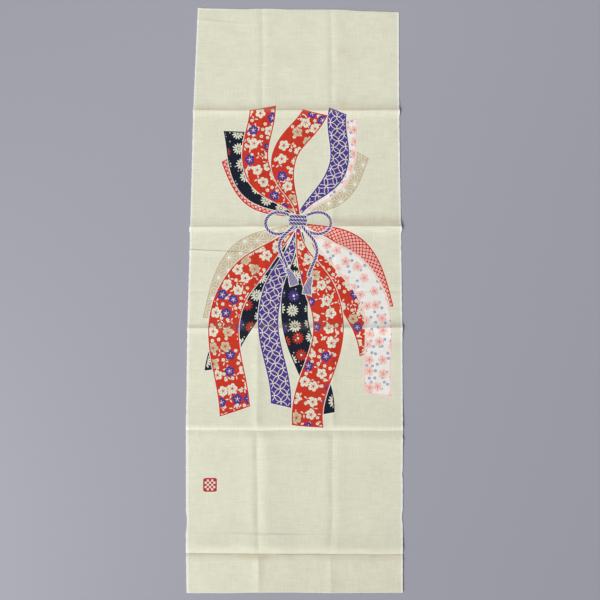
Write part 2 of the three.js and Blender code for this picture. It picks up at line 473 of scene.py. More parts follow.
def ripple(places, rng, wave, count=6):
    """An even random wave of about its own size: a sum of sines with random lengths and phases."""
    lengths = rng.uniform(wave.shortest, wave.longest, count)
    phases = rng.uniform(0, 2 * math.pi, count)
    waves = np.sin(places[..., None] * 2 * math.pi / lengths + phases)
    return wave.size * (waves.sum(-1) / math.sqrt(count))


def table_at(places, table):
    """The value of a table {place: value} at each place, on straight runs between its rows."""
    return np.interp(places, list(table), list(table.values()))


def sway(x, y, rng, count=9):
    """Low swells of the plain cloth: plane waves of random heading and length, summed.

    The sum is eased into 0 to 1 by a hyperbolic tangent.
    """
    headings = rng.uniform(0, math.pi, count)
    lengths = rng.uniform(*SWAY_LENGTHS, count)
    phases = rng.uniform(0, 2 * math.pi, count)
    ramp = x[..., None] * np.cos(headings) + y[..., None] * np.sin(headings)
    total = np.sin(ramp * 2 * math.pi / lengths + phases).sum(-1) / math.sqrt(count)
    return 0.5 + 0.5 * np.tanh(total)


def lift(share, along, sizes):
    """The height of the cloth's underside over the surface, in millimetres.

    share and along are places on the grid, which has every fold on a straight line. The near cut's
    rise and the folds across are added up, each fold with its own height over the width and a slight
    ripple in it. The lengthwise folds are added, valley and ridge by turns, growing from nothing at
    each fold that they cross, and a valley's right side is made larger. Fine wrinkles and the sway of
    the plain cloth come on top.
    """
    rng = np.random.default_rng(sizes.seed)
    width = outline_at(along, "width")
    across = (share - 0.5) * width

    def over_width(values):
        return np.interp(share, [0, 0.5, 1], values)

    def rippled(values):
        return over_width(values) * (1 + ripple(across, rng, FOLD_HEIGHT_WAVE))

    z = CUT_RISE * ridge_profile(CUT_RISE_REACH, along + HALF_LENGTH, CREASE_RADIUS)
    for ridge in RIDGES:
        away = along - ridge.along
        reach = np.where(away > 0, over_width(ridge.far), over_width(ridge.near))
        power = np.where(away > 0, FAR_POWER, NEAR_POWER)
        z += rippled(ridge.heights) * ridge_profile(reach, away, CREASE_RADIUS, power)
    for valley in VALLEYS:
        away = along - valley.along
        for flank, side in ((valley.far, away > 0), (valley.near, away <= 0)):
            crest = over_width(flank.crests)
            z += side * rippled(flank.heights) * flank_profile(crest, flank.reach, away)
    turns = np.array(TURNS_AT, float)
    crossed = (along[..., None] < turns).sum(-1)
    grown = np.clip(np.abs(along[..., None] - turns).min(-1) / TURNING, 0, 1)
    for at, name in zip(LINE_SHARES, ("left_strength", "right_strength")):
        strength = lengthwise_at(along, name)
        height = grown * strength * (1 + ripple(along, rng, LINE_HEIGHT_WAVE))
        away = (share - at) * width
        ridge = LINE_HEIGHT * ridge_profile(LINE_REACH, away, LINE_RADIUS)
        widened = np.where(away > 0, strength * LINE_WIDENS, 1)
        valley = widened * LINE_VALLEY.heights * flank_profile(
            widened * LINE_VALLEY.crests, widened * LINE_VALLEY.reach, away, LINE_RADIUS
        )
        z += height * np.where(crossed % 2 == 1, ridge, valley)
    for wrinkle in WRINKLES:
        height = table_at(share, wrinkle.heights) * (1 + ripple(across, rng, WRINKLE_HEIGHT_WAVE))
        away = wrinkle.along - along
        z += (away > 0) * height * flank_profile(wrinkle.crest, wrinkle.reach, away)
    plain = sizes.sway / METRE * sway(across, along, rng)
    return sizes.crease_height * z + plain


def strayed(share, along, sizes):
    """Where a place of the grid is on the flat cloth: its share of the width and its place along.

    The lengthwise folds are moved from their lines on the grid to their own, and the cloth between
    stretches evenly. Each fold also strays from the straight by a small ripple, the whole of it at
    the fold and none at STRAY_FADE from it.
    """
    rng = np.random.default_rng(sizes.seed + 1)
    width = outline_at(along, "width")
    across = (share - 0.5) * width
    moved = along.copy()

    def beside(fold):
        return 1 - smooth(0, STRAY_FADE, np.abs(along - fold.along))

    for fold in (*RIDGES, *VALLEYS):
        moved += ripple(across, rng, FOLD_STRAY) * beside(fold)
    for wrinkle in WRINKLES:
        moved += table_at(share, wrinkle.shifts) * beside(wrinkle)
    lines = [lengthwise_at(along, name) + ripple(along, rng, LINE_STRAY) for name in ("left", "right")]
    lines = [np.zeros_like(share), *lines, np.ones_like(share)]
    stops = (0, *LINE_SHARES, 1)
    third = np.digitize(share, LINE_SHARES)
    done = np.zeros_like(share)
    for n in range(3):
        part = (share - stops[n]) / (stops[n + 1] - stops[n])
        done = np.where(third == n, lines[n] + part * (lines[n + 1] - lines[n]), done)
    for inset in (share, 1 - share):
        done += ripple(along, rng, TREMBLE) * np.exp(-inset * WIDEST / TREMBLE_DEPTH)
    return done, moved


def dent_shift(share, along):
    """How far the selvedges' dents and bulges move the cloth to the right.

    Each is a bell curve along its selvedge, and fades exponentially with how far in a place is.
    """
    width = outline_at(along, "width")
    shift = np.zeros_like(share)
    for dent in DENTS:
        inset = share * width if dent.side == "left" else (1 - share) * width
        sign = -1 if dent.side == "left" else 1
        near = np.exp(-(((along - dent.along) / (DENT_SPREAD * dent.reach)) ** 2))
        shift += sign * dent.out * near * np.exp(-inset / DENT_DEPTH)
    return shift


def cut_pull(share, along):
    """How far the nearer cut moves the cloth along: all of it at the cut, none past CUT_EASE."""
    ease = np.clip(1 - (HALF_LENGTH - np.abs(along)) / CUT_EASE, 0, 1)
    return ease * np.where(along > 0, table_at(share, FAR_CUT), table_at(share, NEAR_CUT))


def on_outline(share, along):
    """Where a place of the cloth lies, seen from above, with its selvedges undented.

    Across: the outline's middle there, and on by a share of its width. Along: its own place, moved by
    a share of the outline's slant and by the nearer cut.
    """
    x = outline_at(along, "centre") + (share - 0.5) * outline_at(along, "width")
    y = along + (share - 0.5) * outline_at(along, "slant")
    return x, y + cut_pull(share, along)


def laid(share, along):
    """Where a place of the cloth lies, seen from above, before it is put over the origin."""
    x, y = on_outline(share, along)
    return x + dent_shift(share, along), y


def middle_of_box():
    """The middle of the box round the undented outline, which stands over the origin."""
    shares = [*FAR_CUT, *NEAR_CUT]
    x, y = on_outline(*np.meshgrid(shares, column(OUTLINE, "along")))
    return (x.min() + x.max()) / 2, (y.min() + y.max()) / 2


def graded(low, high, edges):
    """Places from low to high: close together near the edges given and PLAIN_STEP apart elsewhere.

    edges is a table {place: step beside it}. The number of steps up to a place is one over the step
    there, summed. Even counts of steps between two edges are then turned back into places, so that
    every edge has a grid line on it.
    """
    fine = np.linspace(low, high, GRID_TRIES)
    away = np.abs(fine[:, None] - np.array(list(edges)))
    beside = np.array(list(edges.values()))
    step = beside + (PLAIN_STEP - beside) * smooth(FINE_REACH, COARSE_REACH, away)
    step = step.min(1)
    steps = np.concatenate([[0], np.cumsum(np.diff(fine) * 2 / (step[1:] + step[:-1]))])
    stops = np.interp([low, *sorted(edges), high], fine, steps)
    runs = [
        np.linspace(a, b, max(1, round(b - a)), endpoint=False)
        for a, b in zip(stops[:-1], stops[1:])
    ]
    places = np.interp(np.concatenate([*runs, stops[-1:]]), steps, fine)
    rounds = np.array(ROUND_EDGE)
    return np.concatenate([places[:1], low + rounds, places[1:-1], high - rounds[::-1], places[-1:]])


def sheet_points(share, along, sizes):
    """The top and the underside of the cloth over a grid, in metres.

    The underside is lift above the surface and the top one thickness over that. Both close in on the
    middle of the thickness towards the cloth's edges, along a quarter circle.
    """
    x, y = laid(*strayed(share, along, sizes))
    middle_x, middle_y = middle_of_box()
    thick = sizes.thickness / METRE
    width = outline_at(along, "width")
    inset = np.minimum(np.minimum(share, 1 - share) * width, HALF_LENGTH - np.abs(along))
    left = 1 - np.clip(inset / (thick / 2), 0, 1)
    open_by = np.sqrt(1 - left**2) * thick / 2
    z = lift(share, along, sizes) + thick / 2
    plan = [x - middle_x, y - middle_y]
    over = np.stack([*plan, z + open_by], -1) * METRE
    under = np.stack([*plan, z - open_by], -1) * METRE
    return over, under


def sheet_faces(rows, columns):
    """The quads of two grids that share their border: the top first, then the underside.

    The top's vertices come first, row by row, and then those of the underside that aren't on its
    border. Each quad takes a vertex, its neighbours along the row and up, and the one across.
    """
    top = np.arange(rows * columns).reshape(rows, columns)
    low = top.copy()
    inner = (rows - 2) * (columns - 2)
    low[1:-1, 1:-1] = rows * columns + np.arange(inner).reshape(rows - 2, columns - 2)

    def quads(grid):
        corners = [grid[:-1, :-1], grid[:-1, 1:], grid[1:, 1:], grid[1:, :-1]]
        return np.stack(corners, -1).reshape(-1, 4)

    return quads(top), quads(low)[:, ::-1]


# ---------------------------------------------------------------------------------------------------
# Where the design lies on the cloth
# ---------------------------------------------------------------------------------------------------


def strip_path(strip):
    """The middle line of a streamer: its points, its directions and the length up to each point.

    Its heading is heading + bend u + wave sin(2 pi u), u going from 0 to 1, and its points are the
    sum of short steps along that heading.
    """
    u = np.linspace(0, 1, PATH_STEPS)
    heading = np.radians(strip.heading + strip.bend * u + strip.wave * np.sin(2 * math.pi * u))
    way = np.stack([np.cos(heading), np.sin(heading)], -1)
    step = strip.length / (PATH_STEPS - 1)
    points = np.concatenate([[[0, 0]], np.cumsum((way[1:] + way[:-1]) / 2 * step, 0)])
    start = np.array(KNOT) + (strip.right, strip.up)
    return points + start, way, u * strip.length


def strip_fields(strip, across, along):
    """Four numbers for each place of the cloth, seen from one streamer, in millimetres.

    gone: the length along its middle line up to the nearest point of it. aside: how far the place is
    to the left of that line. half: half the streamer's width there. left: the length to its cut.
    """
    points, way, lengths = strip_path(strip)
    places = np.stack([across, along], -1).reshape(-1, 1, 2).astype(np.float32)
    nearest = ((places - points.astype(np.float32)) ** 2).sum(-1).argmin(1)
    off = places[:, 0] - points[nearest]
    direction = way[nearest]
    gone = lengths[nearest] + (off * direction).sum(-1)
    aside = off[:, 1] * direction[:, 0] - off[:, 0] * direction[:, 1]
    opened = smooth(0, strip.gather, gone) if strip.gather else np.ones_like(gone)
    narrow = min(GATHERED, strip.width / 2)
    half = narrow + (strip.width / 2 - narrow) * opened
    left = np.minimum(strip.length - gone - strip.cut * aside, gone + 1)
    return np.stack([gone, aside, half, left], -1)


def stamp_fields(across, along):
    """The same four numbers for the square stamp, with its corners cut off aslant."""
    right, up = across.ravel() - STAMP_PLACE[0], along.ravel() - STAMP_PLACE[1]
    half = np.full_like(right, STAMP_SIZE / 2)
    left = STAMP_SIZE / 2 - np.abs(up)
    out, slope = STAMP_CORNER
    corner = out * STAMP_SIZE / 2 - (np.abs(right) + np.abs(up)) * slope
    return np.stack([up, right, half, np.minimum(left, corner)], -1)


def design_layers(across, along, quads):
    """For each corner of each top quad, the streamers that it may show, the topmost first.

    A streamer may show on a quad if one of the quad's corners is inside it. Of those, the last in the
    table lies on top. Each layer is a pair of arrays: gone, aside and half, then left and the fill.
    """
    fields = [strip_fields(strip, across, along) for strip in STREAMERS]
    fields.append(stamp_fields(across, along))
    fields = np.stack(fields)
    fills = np.array([strip.fill for strip in STREAMERS] + [STAMP])
    inside = np.minimum(fields[..., 2] - np.abs(fields[..., 1]), fields[..., 3])
    may_show = inside[:, quads].max(-1) > -MAY_BLEED
    fields[:, :, 0] += STRIP_SHIFT * np.arange(len(fields))[:, None]
    layers = []
    for _ in LAYERS:
        shown = may_show.any(0)
        top = len(fields) - 1 - may_show[::-1].argmax(0)
        picked = fields[top[:, None], quads]
        picked[~shown] = (0, 0, FAR_OUTSIDE, FAR_OUTSIDE)
        fill = np.where(shown, fills[top], 0)[:, None] + np.zeros((1, 4))
        layers.append((picked[..., :3], np.stack([picked[..., 3], fill, 0 * fill], -1)))
        may_show[top, np.arange(len(quads))] = False
    return layers


def stain_and_shade_field(share, across, along):
    """Stain and painted shade at each place, from 0 to 1: bands and spots, all with a bell curve's soft
    edge.
    """
    total = np.zeros_like(share)
    for stain_and_shade in CREASE_STAINS_AND_SHADE:
        band = np.exp(-(((along - stain_and_shade.along - stain_and_shade.offset) / stain_and_shade.spread) ** 2))
        starts = smooth(stain_and_shade.share - STAIN_AND_SHADE_EASE, stain_and_shade.share + STAIN_AND_SHADE_EASE, share)
        stops = 1 - smooth(stain_and_shade.to_share - STAIN_AND_SHADE_EASE, stain_and_shade.to_share + STAIN_AND_SHADE_EASE, share)
        total += stain_and_shade.strength * band * starts * stops
    for spot in SPOT_STAINS_AND_SHADE:
        off = ((across - spot.across) / spot.wide) ** 2 + ((along - spot.along) / spot.long) ** 2
        total += spot.strength * np.exp(-off)
    return np.clip(total, 0, 1)


# ---------------------------------------------------------------------------------------------------
# Material nodes
# ---------------------------------------------------------------------------------------------------


class Number:
    """A number worked out by a material's nodes.

    Arithmetic on Numbers adds Math nodes: each sign, and least, most and is_near, stands for the math
    method below with one operation.
    """

    def __init__(self, tree, socket):
        self.tree = tree
        self.socket = socket

    def math(self, operation, *others):
        """The result of a Math node on this and the others."""
        node = self.tree.nodes.new("ShaderNodeMath")
        node.operation = operation
        for place, value in enumerate((self, *others)):
            feed(self.tree, node.inputs[place], value)
        return Number(self.tree, node.outputs[0])

    __add__ = partialmethod(math, "ADD")
    __sub__ = partialmethod(math, "SUBTRACT")
    __mul__ = partialmethod(math, "MULTIPLY")
    __truediv__ = partialmethod(math, "DIVIDE")
    __mod__ = partialmethod(math, "FLOORED_MODULO")
    __abs__ = partialmethod(math, "ABSOLUTE")
    __lt__ = partialmethod(math, "LESS_THAN")
    __gt__ = partialmethod(math, "GREATER_THAN")
    least = partialmethod(math, "MINIMUM")
    most = partialmethod(math, "MAXIMUM")
    is_near = partialmethod(math, "COMPARE")  # 1 where this is within the second number of the first

    def less(self, other):
        """other less this."""
        return self * -1.0 + other

    def spread(self, low, high):
        """low where this is 0 and high where it is 1, on a straight run."""
        return self * (high - low) + low

    def between(self, low, high):
        """An even S from 0 at low to 1 at high."""
        node = self.tree.nodes.new("ShaderNodeMapRange")
        node.interpolation_type = "SMOOTHSTEP"
        feed(self.tree, node.inputs["Value"], self)
        node.inputs["From Min"].default_value = low
        node.inputs["From Max"].default_value = high
        return Number(self.tree, node.outputs["Result"])


def feed(tree, socket, value):
    """Links a Number or a socket into an input, or sets it to a plain value."""
    if isinstance(value, Number):
        tree.links.new(value.socket, socket)
    elif isinstance(value, bpy.types.NodeSocket):
        tree.links.new(value, socket)
    else:
        socket.default_value = value


def distance(x, y):
    """How far (x, y) is from (0, 0)."""
    return (x * x + y * y).math("SQRT")


def vector_parts(tree, socket):
    """The three Numbers of a vector socket."""
    split = tree.nodes.new("ShaderNodeSeparateXYZ")
    tree.links.new(socket, split.inputs[0])
    return [Number(tree, output) for output in split.outputs]


def attribute(tree, name):
    """The three Numbers of one of the mesh's own vector attributes."""
    node = tree.nodes.new("ShaderNodeAttribute")
    node.attribute_name = name
    return vector_parts(tree, node.outputs["Vector"])


def vector(tree, x, y, z):
    """A place for a pattern, from three Numbers or values."""
    node = tree.nodes.new("ShaderNodeCombineXYZ")
    for socket, value in zip(node.inputs, (x, y, z)):
        feed(tree, socket, value)
    return node.outputs[0]


def noise(tree, place, detail):
    """Soft noise from 0 to 1 over a place, one swell to a unit."""
    node = tree.nodes.new("ShaderNodeTexNoise")
    node.noise_dimensions = "3D"
    feed(tree, node.inputs["Vector"], place)
    node.inputs["Scale"].default_value = 1.0
    node.inputs["Detail"].default_value = detail
    return Number(tree, node.outputs["Fac"])


def cloth_noise(tree, across, along, fine, layer, detail=2.0):
    """Soft noise over the cloth. fine: how many swells there are to a millimetre, across and along."""
    return noise(tree, vector(tree, across * fine[0], along * fine[1], layer), detail)


def pick(tree, choice, first, second):
    """first where choice is 0 and second where it is 1, and a mix between, of two Numbers."""
    node = tree.nodes.new("ShaderNodeMix")
    node.data_type = "FLOAT"
    feed(tree, node.inputs[0], choice)
    feed(tree, node.inputs[2], first)
    feed(tree, node.inputs[3], second)
    return Number(tree, node.outputs[0])


def paint(tree, mask, below, above, way="MIX"):
    """A colour laid over another wherever the mask is 1."""
    node = tree.nodes.new("ShaderNodeMix")
    node.data_type = "RGBA"
    node.blend_type = way
    feed(tree, node.inputs[0], mask)
    for socket, value in ((node.inputs[6], below), (node.inputs[7], above)):
        feed(tree, socket, value if isinstance(value, bpy.types.NodeSocket) else (*value, 1.0))
    return node.outputs[2]


# A blossom's petals: how many, how far out their middles are, half their length and width, and the
# sizes of the heart and of a stamen, all as shares of the blossom's radius.
Petal = namedtuple("Petal", "count out long wide heart stamen")
ROUND_PETAL = Petal(5, 0.58, 0.40, 0.40, 0.15, 0.045)
SLIM_PETAL = Petal(12, 0.63, 0.36, 0.125, 0.20, 0.0)
LEAF = Petal(3, 0.60, 0.40, 0.16, 0.08, 0.0)
STAMEN_OUT = (0.36, 0.14)  # where a stamen's middle is, and half its length

# Blossoms scattered over a streamer. gone and aside: how far the pattern is shifted. scatter: how far
# they stand out of even rows, from 0 to 1.
Spray = namedtuple("Spray", "gone aside spacing radius petal scatter")
SPRIGS = Spray(150, 70, 12.5, 6.4, LEAF, 0.6)
SMALL_PLUMS = Spray(300, 40, 10.5, 3.0, ROUND_PETAL, 0.5)
PLUMS = Spray(0, 0, 23.0, 8.4, ROUND_PETAL, 0.4)
DAISIES = Spray(0, 6, 25.0, 9.6, SLIM_PETAL, 0.35)
DAISY_DOTS = Spray(90, 50, 8.0, 1.0, ROUND_PETAL, 0.8)
PALE_DOTS = Spray(70, 90, 9.5, 2.6, ROUND_PETAL, 0.7)
PALE_PLUMS = Spray(0, 0, 21.0, 7.8, ROUND_PETAL, 0.45)

# How many of a spray's blossoms there are, or have a colour, as a share of all its places.
SOME_SPRIGS, SOME_SMALL_PLUMS, SOME_PALE_DOTS, SOME_DAISY_DOTS = 0.6, 0.45, 0.6, 0.4
PURPLE_PLUMS, TAN_PLUMS = 0.30, 0.12
RED_DAISIES, PURPLE_DAISIES = 0.22, 0.20


def blossoms(tree, gone, aside, spray):
    """Scattered blossoms: (in a petal, in the heart, on a stamen, a random number for each blossom).

    Scattered points, one to a cell, are the blossoms' middles. Seen from the nearest one, the turn is
    folded into one petal's share, and a petal is an oval round a point on the middle of that share.
    """
    petal = spray.petal
    gone = (gone + spray.gone) / spray.spacing
    aside = (aside + spray.aside) / spray.spacing
    node = tree.nodes.new("ShaderNodeTexVoronoi")
    node.voronoi_dimensions = "2D"
    node.inputs["Scale"].default_value = 1.0
    node.inputs["Randomness"].default_value = spray.scatter
    tree.links.new(vector(tree, gone, aside, 0.0), node.inputs["Vector"])
    middle_gone, middle_aside, _ = vector_parts(tree, node.outputs["Position"])
    x = (gone - middle_gone) * (spray.spacing / spray.radius)
    y = (aside - middle_aside) * (spray.spacing / spray.radius)
    tint = tree.nodes.new("ShaderNodeSeparateColor")
    tree.links.new(node.outputs["Color"], tint.inputs[0])
    chance = Number(tree, tint.outputs[0])
    out = distance(x, y)
    share = 2 * math.pi / petal.count
    turn = (y.math("ARCTAN2", x) + chance * (2 * math.pi)) % share - share / 2
    ahead = (out * turn.math("COSINE") - petal.out) / petal.long
    beside = out * turn.math("SINE") / petal.wide
    inside = (ahead * ahead + beside * beside) < 1.0
    heart = out < petal.heart
    ray = (abs(turn) * out) < petal.stamen
    return inside, heart, ray * out.is_near(*STAMEN_OUT), chance


def plum_fill(tree, gone, aside, colours):
    """Red, with plum blossoms in cream, purple and tan, and sprigs and small blossoms between them."""
    petal, heart, _, chance = blossoms(tree, gone, aside, SPRIGS)
    colour = paint(tree, petal.most(heart) * (chance < SOME_SPRIGS), colours.red, colours.cotton)
    petal, heart, _, chance = blossoms(tree, gone, aside, SMALL_PLUMS)
    colour = paint(tree, petal * (chance < SOME_SMALL_PLUMS), colour, colours.cotton)
    colour = paint(tree, heart * (chance < SOME_SMALL_PLUMS), colour, colours.red)
    petal, heart, stamen, chance = blossoms(tree, gone, aside, PLUMS)
    colour = paint(tree, petal, colour, colours.cotton)
    colour = paint(tree, petal * (chance < PURPLE_PLUMS), colour, colours.purple)
    colour = paint(tree, petal * (chance > 1 - TAN_PLUMS), colour, colours.tan)
    colour = paint(tree, heart, colour, colours.cotton)
    colour = paint(tree, stamen.most(heart) * (chance > PURPLE_PLUMS), colour, colours.red)
    return paint(tree, stamen * (chance < PURPLE_PLUMS), colour, colours.cotton)


def daisy_fill(tree, gone, aside, colours):
    """Navy, with many-petalled flowers in cream, a few of them red or purple, and small dots."""
    petal, heart, _, chance = blossoms(tree, gone, aside, DAISIES)
    colour = paint(tree, petal, colours.navy, colours.cotton)
    colour = paint(tree, petal * (chance < RED_DAISIES), colour, colours.red)
    colour = paint(tree, petal * (chance > 1 - PURPLE_DAISIES), colour, colours.purple)
    colour = paint(tree, heart, colour, colours.cotton)
    petal, heart, _, chance = blossoms(tree, gone, aside, DAISY_DOTS)
    return paint(tree, heart.most(petal) * (chance < SOME_DAISY_DOTS), colour, colours.cotton)


def rings_fill(tree, gone, aside, colours, size=10.0, line=0.55, dot=1.1):
    """Purple, with linked rings and pink dots between them.

    The rings are circles about every other point of a square net of their radius, and the dots lie on
    the other points.
    """
    x = gone.math("PINGPONG", size)
    y = aside.math("PINGPONG", size)
    first = abs(distance(x, y) - size)
    second = abs(distance(x.less(size), y.less(size)) - size)
    colour = paint(tree, first.least(second) < line, colours.purple, colours.cotton)
    middle = distance(x.less(size), y).least(distance(x, y.less(size)))
    return paint(tree, middle < dot, colour, colours.pink)


def petals_fill(tree, gone, aside, colours):
    """Nearly white, with pale pink blossoms and small grey blue ones."""
    petal, _, _, chance = blossoms(tree, gone, aside, PALE_DOTS)
    colour = paint(tree, petal * (chance < SOME_PALE_DOTS), colours.pale, colours.grey_blue)
    petal, heart, stamen, _ = blossoms(tree, gone, aside, PALE_PLUMS)
    colour = paint(tree, petal, colour, colours.pink)
    return paint(tree, heart.most(stamen), colour, colours.red)


def hemp_fill(tree, gone, aside, colours, size=19.0, line=0.021, inner=0.6):
    """Tan, with hemp leaf stars: a net of triangles, each with three lines from its middle.

    Each place has three distances from the sides of its triangle, in triangle heights, which add up to
    1. A side is where the least of them is 0, and a line from the middle where the least two agree.
    Beside such a line their difference grows faster than the distance from a side does, and inner
    makes up for that.
    """
    rise = math.sqrt(3) / 2
    headings = ((1, 0), (-0.5, rise), (-0.5, -rise))
    sides = [((gone * right + aside * up) / (size * rise)) % 1.0 for right, up in headings]
    first, second, third = sides
    over = (first + second + third) > 1.5
    first, second, third = (pick(tree, over, side, side.less(1.0)) for side in sides)
    least = first.least(second).least(third)
    most = first.most(second).most(third)
    middle = (least + most).less(1.0)
    lines = least.least((middle - least) * inner) < line
    return paint(tree, lines, colours.tan, colours.pale)


def spots_fill(tree, gone, aside, colours, size=5.0, square=0.36, dot=0.12):
    """Red, with a diagonal net of small tied spots: a pink square with a red middle.

    A square is where the fourth root of the sum of the fourth powers is small, which rounds it.
    """
    right = (gone + aside) * math.sqrt(0.5) % size - size / 2
    up = (gone - aside) * math.sqrt(0.5) % size - size / 2
    out = (right * right * right * right + up * up * up * up).math("POWER", 0.25)
    colour = paint(tree, out < square * size, colours.red, colours.pink)
    return paint(tree, out < dot * size, colour, colours.red)


def cord_fill(tree, gone, aside, colours, pitch=5.0, slant=1.1, line=0.7):
    """Purple, with the pale slanting lines of a twisted cord."""
    turn = (gone + aside * slant) % pitch
    return paint(tree, turn < line, colours.purple, colours.pale)


def tassel_fill(tree, gone, aside, colours, pitch=2.1, line=0.55):
    """Purple, with pale threads along it."""
    return paint(tree, aside % pitch < line, colours.purple, colours.pale)


def stamp_fill(tree, gone, aside, colours, size=3.3, squares=5):
    """Dark red, with a plain check of the undyed ground inside a plain border."""
    up = gone - STRIP_SHIFT * len(STREAMERS)
    half = size * squares / 2
    light = (((aside + half) / size).math("FLOOR") + ((up + half) / size).math("FLOOR")) % 2.0
    inner = abs(aside).most(abs(up)) < half
    return paint(tree, light * inner, colours.stamp, colours.cotton)


# The other fills, and the dye of their hem.
FILLS = {
    DAISY: (daisy_fill, "navy"),
    RINGS: (rings_fill, "purple"),
    PETALS: (petals_fill, "pink"),
    HEMP: (hemp_fill, "tan"),
    SPOTS: (spots_fill, "red"),
    CORD: (cord_fill, "purple"),
    TASSEL: (tassel_fill, "purple"),
    STAMP: (stamp_fill, "stamp"),
}
RESIST_LINE = 1.1  # the undyed line round each streamer
HEM_LINE = 1.9  # and the plain line of its own dye inside that, on the broad ones


def design(tree, bleed, colours):
    """The dyes: (their colour, where there is any, where a streamer or its undyed line is).

    The topmost streamer that covers a place is the one that shows there.
    """
    shown = None
    for layer in reversed(LAYERS):
        gone, aside, half = attribute(tree, f"streamer_{layer}")
        left, fill, _ = attribute(tree, f"streamer_{layer}_cut")
        edge = (half - abs(aside)).least(left) + bleed
        seen = (gone, aside, fill, edge)
        if shown:
            covers = edge > 0.0
            seen = [pick(tree, covers, *pair) for pair in zip(shown, seen)]
        shown = seen
    gone, aside, fill, edge = shown
    colour = plum_fill(tree, gone, aside, colours)
    plain = colours.red
    for kind, (make, dye) in FILLS.items():
        chosen = fill.is_near(float(kind), 0.5)
        colour = paint(tree, chosen, colour, make(tree, gone, aside, colours))
        plain = paint(tree, chosen, plain, getattr(colours, dye))
    hem = (edge < RESIST_LINE + HEM_LINE) * (fill < CORD - 0.5)
    outlined = fill < STAMP - 0.5
    dyed = edge > outlined * RESIST_LINE
    return paint(tree, hem, colour, plain), dyed, outlined * (edge > 0.0)


# ---------------------------------------------------------------------------------------------------
# The cotton, its loose yarn and the floor
# ---------------------------------------------------------------------------------------------------

# The cloth whitens towards its edges and cuts: partly the tight selvedge, partly a painted highlight along
# the rims. It starts to whiten at the first of these distances from an edge, and is white at the second.
SELVEDGE_AND_HIGHLIGHT_FADES = (2.9, 1.5)
# A distance counts as so many times itself, and the smaller this is the wider the white edge. The left
# selvedge has it at places along the cloth.
LEFT_SHOWS = {-HALF_LENGTH: 0.62, -100: 0.62, 300: 1.0}
RIGHT_SHOWS = 0.72
FAR_CUT_SHOWS, NEAR_CUT_SHOWS = 1.3, 3.0

BLEED = 0.7  # how far the dye's edge wavers, from side to side
EDGE_BLEED = 0.8  # and how much of that the white edges waver
UNDERSIDE_DYE = 0.58  # how much of the dye shows on the underside
WHITE_LINE = 0.5  # how much whiter the undyed line round a streamer is

YARN_PITCH = 0.5
YARN_EDGE = 0.55  # how high a yarn is beside its neighbour, as a share of its top
CROSSING = 0.25  # how softly warp and weft change places
WEAVE_RELIEF, SLUB_RELIEF = 0.045, 0.03  # the heights of the weave and of the slubs
TWIST_ALONG, TWIST_ROUND = 5.0, 2.0  # half waves of a loose yarn's twist, for a step and for a turn
# How much lighter and darker the twist is painted, as painted light and shade, and the height of its bumps.
TWIST_LIGHT, TWIST_RELIEF = 0.07, 0.03

# Each of these varies from its first value to its second, by a soft noise or a number of its own.
DYE_DEPTH = (0.95, 1.05)
STAIN_AND_SHADE_DEPTH = (0.7, 1.1)
# The weave's light: painted shade in the hollows between the yarns, by their height.
WEAVE_LIGHT = (0.90, 1.06)
COTTON_ROUGHNESS = (0.84, 0.94)
YARN_LIGHT = (0.84, 0.98)
YARN_ROUGHNESS = (0.82, 0.92)
FLOOR_LIGHT = (0.98, 1.02)
STAIN_AND_SHADE_PATCHES = (0.2, 0.7)  # between these values of their noise the stains and the painted shade deepen

# Thicker and thinner yarns, as noises over the cloth. fine: swells to a millimetre, across and along.
Streak = namedtuple("Streak", "fine layer detail strength")
STREAKS = [
    Streak((0.75, 0.030), 3.0, 3.0, 0.19),  # the warp
    Streak((0.028, 0.70), 8.0, 3.0, 0.19),  # the weft
    Streak((0.03, 0.03), 5.0, 3.0, 0.114),  # broad patches
    Streak((0.08, 0.13), 7.0, 3.0, 0.1368),  # the mottle of handled cloth
    Streak((0.55, 0.45), 1.0, 2.0, 0.19),  # the grain
]


def yarn_streaks(tree, across, along):
    """How light the yarns are, about 1: each noise less a half, times its strength, all summed."""
    light = 1.0
    for streak in STREAKS:
        swell = cloth_noise(tree, across, along, streak.fine, streak.layer, streak.detail)
        light = (swell - 0.5) * streak.strength + light
    return light


def weave_height(tree, across, along):
    """The height of the plain weave, from 0 to 1.

    Warp and weft yarns are half sines across themselves. A product of two sines is positive on every
    other crossing, where the warp lies on top, and negative between, where the weft does.
    """
    warp = (across * (math.pi / YARN_PITCH)).math("SINE")
    weft = (along * (math.pi / YARN_PITCH)).math("SINE")
    on_top = (warp * weft).between(-CROSSING, CROSSING)
    warp, weft = abs(warp), abs(weft)
    return pick(tree, on_top, weft * warp.spread(YARN_EDGE, 1), warp * weft.spread(YARN_EDGE, 1))


def new_material(name, finish):
    """A material: (itself, its node tree, its shader's inputs). finish: {input: value}, all over."""
    material = bpy.data.materials.new(name)
    material.use_nodes = True
    inputs = material.node_tree.nodes["Principled BSDF"].inputs
    for part, value in finish.items():
        inputs[part].default_value = value
    return material, material.node_tree, inputs


def shaded(tree, colour, shade):
    """A colour made lighter or darker by a Number."""
    grey = tree.nodes.new("ShaderNodeCombineColor")
    for socket in grey.inputs[:3]:
        feed(tree, socket, shade)
    return paint(tree, 1.0, colour, grey.outputs[0], way="MULTIPLY")


def relief(tree, height, strength):
    """The bumps of a height in millimetres, for a shader's normal."""
    node = tree.nodes.new("ShaderNodeBump")
    node.inputs["Strength"].default_value = strength
    node.inputs["Distance"].default_value = METRE
    feed(tree, node.inputs["Height"], height)
    return node.outputs[0]


